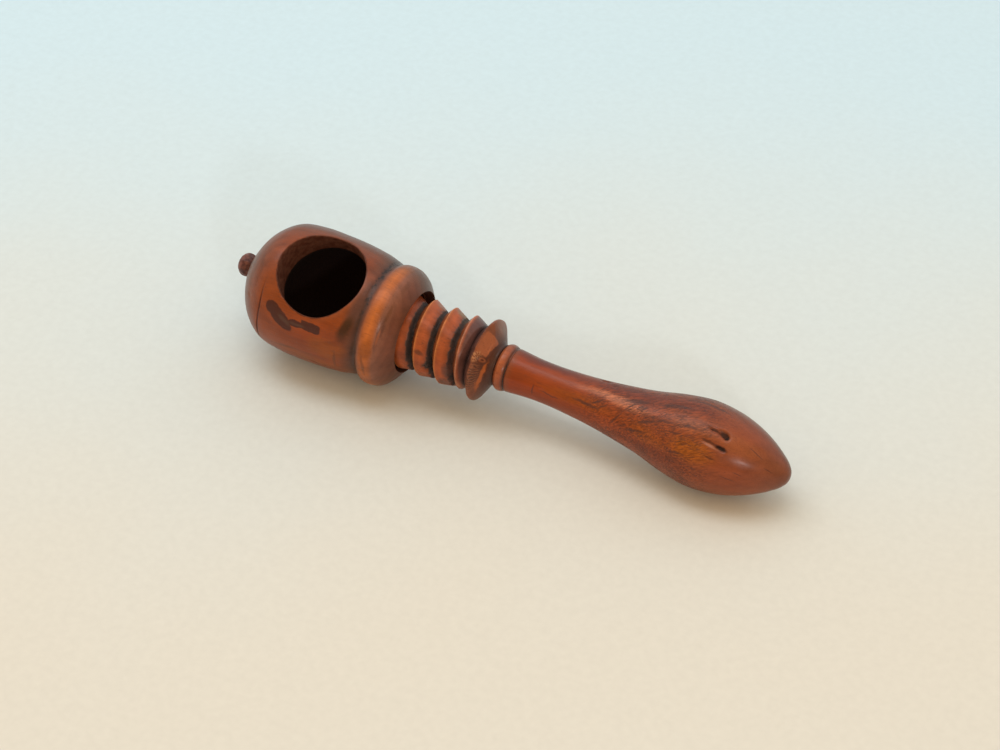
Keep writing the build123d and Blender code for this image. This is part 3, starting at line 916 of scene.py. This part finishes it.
# --- Handle -------------------------------
# The grip that turns the screw: a bead and groove beside the joint, a slim waist and a long
# bulb, turned from red-brown wood with a crossing figure and polished by hands. Two worn slots
# and a few scratches in the bulb.
BEAD = [(85.52, 6.3), (85.75, 6.75), (86.3, 7.2), (87.0, 7.35), (88.0, 7.2), (88.55, 6.95)]
GROOVE = [(88.55, 6.95), (88.85, 6.5), (89.05, 6.42), (89.3, 6.6), (89.55, 6.83)]
GRIP = [
    (89.55, 6.83), (91, 6.7), (95.5, 6.33), (101, 6.2), (110, 6.58), (118, 7.33), (126, 8.48),
    (134, 9.93), (142, 11.98), (151, 13.3), (161.5, 12.08), (168.5, 9.53), (174.6, 5.9), (177.5, 3.5),
    (178.7, 1.7), (179.05, 0),
]
HANDLE_BORE_X = 99.5
HANDLE_SLOTS = [  # x, roll, length, width, lean and depth
    ((158.8, 22.6, 3.2, 2, 10), 0.7), ((159.8, 24.8, 1.8, 1.8, 20), 0.4),
    ((156, 22.6, 4.8, 0.8, 6), 0.3), ((159.3, 42, 3.4, 1.5, 6), 0.8), ((156, 40, 5.4, 1.5, 6), 0.45),
    ((157.2, 58.5, 3.4, 0.8, 5), 0.25),
]
SLOT_SHADOWS = [  # their dark ends, painted shadow inside the slots
    ((158.8, 22.4, 3, 1.8, 10), 0.9), ((159.8, 24.8, 1.6, 1.7, 20), 1),
    ((156.2, 22.2, 4.6, 0.8, 6), 0.7), ((159.4, 41.6, 4, 1.3, 6), 1), ((155.8, 38.6, 5.4, 0.8, 6), 0.6),
    ((157.2, 58.5, 3.6, 0.7, 5), 0.6),
]
SLOT_EDGE = (156.8, 43, 6, 0.8, 7)  # bare wood with a painted highlight on the lower edge of the long one
HANDLE_DENTS = [
    ((118.2, -26, 3, 1.6, 5), 0.4), ((121.5, -12, 2.4, 0.8, 60), 0.2), ((101, 70, 3, 1.6, 0), 0.1),
    ((136, 60, 4, 2.2, 20), 0.12), ((146, 0, 5, 2, -10), 0.15), ((170, 20, 3, 2, 30), 0.12),
    ((130, 150, 4, 2, 0), 0.2), ((150, -120, 4, 2.4, 15), 0.2), ((112, 200, 3, 1.6, 0), 0.15),
]
HANDLE_COLUMNS = 180
handle = Shell()
handle_rolls = np.arange(HANDLE_COLUMNS) * 360 / HANDLE_COLUMNS
grip_rows = np.vstack((
    curve_through(BEAD, 0.15), curve_through(GROOVE, 0.1)[1:], curve_through(GRIP, 0.4)[1:],
))
grip_x = grip_rows[:, :1]
grip_points = round_axis(grip_x, grip_rows[:, 1:], handle_rolls)
fullness = np.clip(grip_rows[:, 1:] / 6.0, 0, 1)
uneven = 0.05 + 0.05 * lumps(grip_points, 14, 41) + 0.018 * lumps(grip_points * (0.35, 1, 1), 1.6, 42)
grip_r = grip_rows[:, 1:] - np.clip(uneven, 0, 1) * fullness
for dent, depth in HANDLE_SLOTS + HANDLE_DENTS:
    grip_r = grip_r - depth * bump_at(grip_x, handle_rolls, grip_rows[:, 1:], dent)
grip_r[-1] = 0
grip_grid = round_axis(grip_x, np.maximum(grip_r, 0), handle_rolls)
handle.sheet(grip_grid)
bore_rows = straight_rows(
    [(85.52, 6.3), (JOINT_X + 0.01, DOWEL_BORE_R), (HANDLE_BORE_X, DOWEL_BORE_R), (HANDLE_BORE_X, 0)],
    1.6,
)
bore_grid = turned(bore_rows, handle_rolls)
bore_grid[0] = grip_grid[0]
handle.sheet(bore_grid)
handle_piece = handle.piece("handle_grip_wood", "screw_and_handle", "handle", "handle_wood")


def on_grip(place, spot, depth=4.0):
    """The mask of a spot on the grip's skin."""
    return place.spot(float(np.interp(spot[0], *grip_rows.T)), spot, depth)


HANDLE_TONES = [  # colour along the handle
    (85.5, (0.15, 0.048, 0.024)), (86.6, (0.32, 0.09, 0.032)), (88, (0.27, 0.07, 0.028)),
    (88.7, (0.11, 0.045, 0.032)), (89.7, (0.2, 0.048, 0.016)), (91.5, (0.22, 0.034, 0.004)),
    (112, (0.215, 0.038, 0.005)), (134, (0.205, 0.042, 0.009)), (150, (0.205, 0.046, 0.011)),
    (166, (0.22, 0.052, 0.017)), (179, (0.16, 0.052, 0.026)),
]
DEEP_RED = (0.115, 0.02, 0.008)
OCHRE = (0.25, 0.064, 0.005)
TAN = (0.27, 0.078, 0.026)
HIGHLIGHT_TAN = (0.4, 0.13, 0.055)
SMOKE = (0.055, 0.02, 0.015)
SLOT_SHADOW_BLACK = (0.022, 0.01, 0.008)
LINE_BLACK = (0.014, 0.008, 0.008)
BARE_WOOD_AND_HIGHLIGHT = (0.33, 0.13, 0.065)
GROOVE_LINE_X = 88.95
# painted light among these: the pale tan patch at 124 along the top is a painted highlight
HANDLE_AREAS = [  # broad patches: x, roll, length, width, lean, colour and strength
    ((102, -14, 24, 4, 2), DEEP_RED, 0.8), ((128, -6, 30, 6, 6), DEEP_RED, 0.7),
    ((146, -4, 22, 6, 8), DEEP_RED, 0.6), ((124, 24, 22, 3.2, 4), HIGHLIGHT_TAN, 0.75),
    ((152, 60, 13, 8, 4), OCHRE, 0.95), ((138, 66, 14, 5, 8), OCHRE, 0.4),
    ((112, 56, 22, 4, 0), OCHRE, 0.3), ((165, 28, 15, 6, 0), TAN, 0.55),
    ((150, 30, 14, 3, 4), TAN, 0.5), ((140, 92, 26, 6, 0), DEEP_RED, 0.4),
    ((143, 160, 30, 12, 6), OCHRE, 0.5), ((130, -120, 34, 9, -4), TAN, 0.4),
]
FIGURE_STREAKS = [  # dark bands of figure: x, roll, length, width and lean
    (119, 42, 5, 0.7, -35), (130.5, 14, 7, 1.5, -10), (142.5, 6, 9, 1.5, -8), (141, 34, 6, 0.9, -8),
    (126.2, 60, 5.6, 0.5, -62), (136, 44, 6, 0.9, -22), (149, 30, 5, 0.9, 0), (151.5, -14, 12, 1.2, 2),
    (98.6, 76, 0.5, 3.6, 0), (104, 72, 6, 0.4, 5), (116, 56, 9, 0.8, 3), (133, 66, 7, 0.7, -15),
    (129, 30, 5, 0.5, -52), (121, 48, 4, 0.5, -40), (145, 44, 4, 0.7, -10), (147, 68, 5, 0.8, -10),
    (150, -60, 14, 2.4, 10), (128, -90, 12, 1.6, -12), (140, 140, 14, 2.4, 8), (110, 160, 12, 1.4, 4),
]
BULB_CRACKS = [  # short fine cracks near the end
    (169, 26, 6, 0.22, 17), (163.5, 81, 5, 0.22, 14), (173.5, 48, 3, 0.2, 14), (166, 70, 3, 0.2, 15),
]
FIGURE_LEANS = ((34, 57), (17, 66))  # the crossing figure leans so far from the length; seeds
FIGURE_FACE = 30  # roll of the face on which it leans so


def leaning(place, degrees, seed):
    """The place turned so that its first axis leans that far up from the handle's length."""
    bent = place.jitter((0.1, 0.14, 0.14), seed, 1.6)
    return bent.within((0, 0, 0), skin_frame(FIGURE_FACE, -degrees))


wood = Finish("handle_red_wood")
place, x = wood.place, wood.x
ragged = place.jitter(0.6, 51, 0.5)
wavy = place.jitter((0.1, 0.16, 0.16), 54, 2.6)
figure = grain(place, 52, (14, -22), 1.9, 0.03)
patina = place.noise((0.1, 0.16, 0.16), 55, 5.0)
wood.colour = x.tones(85.5, 179, HANDLE_TONES)
for area, tone, strength in HANDLE_AREAS:
    wood.paint(on_grip(wavy, area, 6.0) * strength, tone)
figured = x.ease(106, 124) * x.ease(164, 150)
silk = (leaning(place, 30, 59).noise((0.4, 2.4, 2.4), 60, 3.0) - 0.5) * figured
wood.colour = (figure * 0.9 + patina * 0.7 + silk * 2.4 + 0.2).shade(wood.colour)
# painted shade and grey reflection: the side turned away from the camera is painted darker and greyer
shaded_far_side = wood.roll.ease(-8, -40) * wood.roll.ease(-178, -130) * (patina * 0.4 + 0.6)
wood.paint(shaded_far_side * 0.6, BACK_SHADE_GREY)
for streak in FIGURE_STREAKS:
    wood.paint(on_grip(ragged, streak) * 0.7, SMOKE)
scratches = 0
for lean, seed in FIGURE_LEANS:
    lines = leaning(place, lean, seed).noise((0.26, 4.2, 4.2), seed + 1, 2.0).ease(0.53, 0.64)
    clumps = place.noise((0.12, 0.3, 0.3), seed + 2, 3.0).ease(0.42, 0.6)
    scratches = (lines * (clumps * figured * 0.92 + 0.08)).math("MAXIMUM", scratches)
for crack in BULB_CRACKS:
    scratches = on_grip(place, crack, 2.0).math("MAXIMUM", scratches)
wood.paint(scratches * 0.85, SMOKE)
wood.paint(place.spot(12.5, SLOT_EDGE, 2.0) * 0.7, BARE_WOOD_AND_HIGHLIGHT)
# painted shadow at the slots' ends
slot_shadow = 0
for shade_spot, darkness in SLOT_SHADOWS:
    slot_shadow = (ragged.spot(12.4, shade_spot) * darkness).math("MAXIMUM", slot_shadow)
wood.paint(slot_shadow, SLOT_SHADOW_BLACK)
groove = (x - GROOVE_LINE_X).math("ABSOLUTE").ease(0.26, 0.08) * wood.roll.ease(15, 40)
wood.paint(groove * 0.95, LINE_BLACK)
pores = place.noise((0.3, 4.0, 4.0), 58, 1.0).ease(0.62, 0.7)
wood.paint(pores * 0.4, DEEP_RED)
relief = place.noise((0.16, 3.0, 3.0), 53, 2.0) * 0.02 - scratches * 0.04 - pores * 0.012
relief = relief + silk * 0.06
roughness = patina * 0.14 + 0.25 + slot_shadow * 0.3 + scratches * 0.2 + figured * 0.05
wood.lay_on(handle_piece, roughness, relief, (1 - slot_shadow) * 0.22)

# --- Joint dowel --------------------------
# The peg hidden inside the screw's neck and the handle, which holds the two together: plain
# split hardwood, never finished, with glue at its ends.
DOWEL_END_X = 99.0
DOWEL_PALE = (0.58, 0.4, 0.22)
DOWEL_BROWN = (0.42, 0.26, 0.12)
DOWEL_GLUE = (0.3, 0.17, 0.06)
wood = Finish("dowel_plain_wood")
figure = grain(wood.place, 61, (5, 4), 1.1)
wood.colour = figure.ease(0.25, 0.7).mix(DOWEL_BROWN, DOWEL_PALE)
glued = (wood.x + wood.place.noise(0.5, 64) * 2).ease(DOWEL_END_X - 3, DOWEL_END_X)
wood.paint(glued * 0.7, DOWEL_GLUE)
wood.lay_on(frame["nodes"]["joint_dowel"], figure * 0.2 + 0.55, figure * 0.03, glued * 0.1)

# --- Floor, light and camera --------------
# A pale sheet of paper on a table, under a long skylight, with a cool wall behind and a warm
# room in front.
floor_mesh = bpy.data.meshes.new("floor")
floor_mesh.from_pydata([(-3, -3, 0), (3, -3, 0), (3, 3, 0), (-3, 3, 0)], [], [(0, 1, 2, 3)])
floor = bpy.data.objects.new("floor", floor_mesh)
link(floor)
PAPER_NEAR = (0.65, 0.655, 0.605)
PAPER_FAR_COOL_LIGHT = (0.545, 0.745, 0.885)
paper = bpy.data.materials.new("pale_paper")
paper.use_nodes = True
tree = paper.node_tree
sheet = Wire(tree, tree.nodes.new("ShaderNodeTexCoord").outputs["Object"])
# painted cool light: the paper is tinted blue towards the back
away = sheet.vector("DOT_PRODUCT", (-0.45, 0.89, 0)) + (sheet.noise(6.0, 71) - 0.5) * 0.12
tint = away.ease(-0.12, 0.22).mix(PAPER_NEAR, PAPER_FAR_COOL_LIGHT)
flecks = sheet.noise(420.0, 72, 4.0)
tint = (flecks * 0.1 + 0.95).shade(tint)
tree.links.new(tint.socket, tree.nodes["Principled BSDF"].inputs["Base Color"])
tree.nodes["Principled BSDF"].inputs["Roughness"].default_value = 0.9
floor_mesh.materials.append(paper)

world = bpy.data.worlds.new("studio")
bpy.context.scene.world = world
world.use_nodes = True
WORLD_STRENGTH = 1.01
ROOM_WARM = (0.92, 0.6, 0.31)
WINDOW_COOL = (0.9, 0.96, 0.96)
tree = world.node_tree
sky = Wire(tree, tree.nodes.new("ShaderNodeTexCoord").outputs["Generated"])
behind = sky.vector("DOT_PRODUCT", (-0.45, 0.89, 0.0)).ease(-0.5, 0.6)
high = sky.vector("DOT_PRODUCT", (0, 0, 1)).ease(-0.05, 0.45) * 0.6 + 0.45
background = tree.nodes["Background"]
tint = high.shade(behind.mix(ROOM_WARM, WINDOW_COOL))
tree.links.new(tint.socket, background.inputs["Color"])
background.inputs["Strength"].default_value = WORLD_STRENGTH


def lamp(name, direction, distance, length, width, watts):
    """A panel of light that faces the origin, its length along x."""
    data = bpy.data.lights.new(name, "AREA")
    data.shape = "RECTANGLE"
    data.size = length
    data.size_y = width
    data.energy = watts
    made = bpy.data.objects.new(name, data)
    facing = Vector(direction).normalized()
    level = Vector((1, 0, 0)) - facing * facing.x
    level.normalize()
    made.matrix_world = Matrix((level, facing.cross(level), facing)).transposed().to_4x4()
    made.location = facing * distance
    link(made)


lamp("window", (-0.27, 0.02, 0.96), 1.5, 1.7, 0.6, 7.6)
lamp("front", (0.58, -0.7, 0.42), 1.5, 0.13, 0.13, 2.8)

AZIMUTH = math.radians(26.93)
ELEVATION = math.radians(42.4)
DISTANCE = 0.75
LENS = 90
AIM_X = 82.5
AIM_RIGHT = 2.12
AIM_DOWN = 3.82
level_reach = math.cos(ELEVATION)
back = Vector((
    math.sin(AZIMUTH) * level_reach, -math.cos(AZIMUTH) * level_reach, math.sin(ELEVATION),
))
right = Vector((math.cos(AZIMUTH), math.sin(AZIMUTH), 0))
up = back.cross(right)
aim = closed_end + along * AIM_X * MM + right * AIM_RIGHT * MM - up * AIM_DOWN * MM
camera_data = bpy.data.cameras.new("camera")
camera_data.lens = LENS
camera = bpy.data.objects.new("camera", camera_data)
camera.matrix_world = Matrix((right, up, back)).transposed().to_4x4()
camera.location = aim + back * DISTANCE
link(camera)
bpy.context.scene.camera = camera
bpy.context.scene.view_settings.view_transform = "Standard"
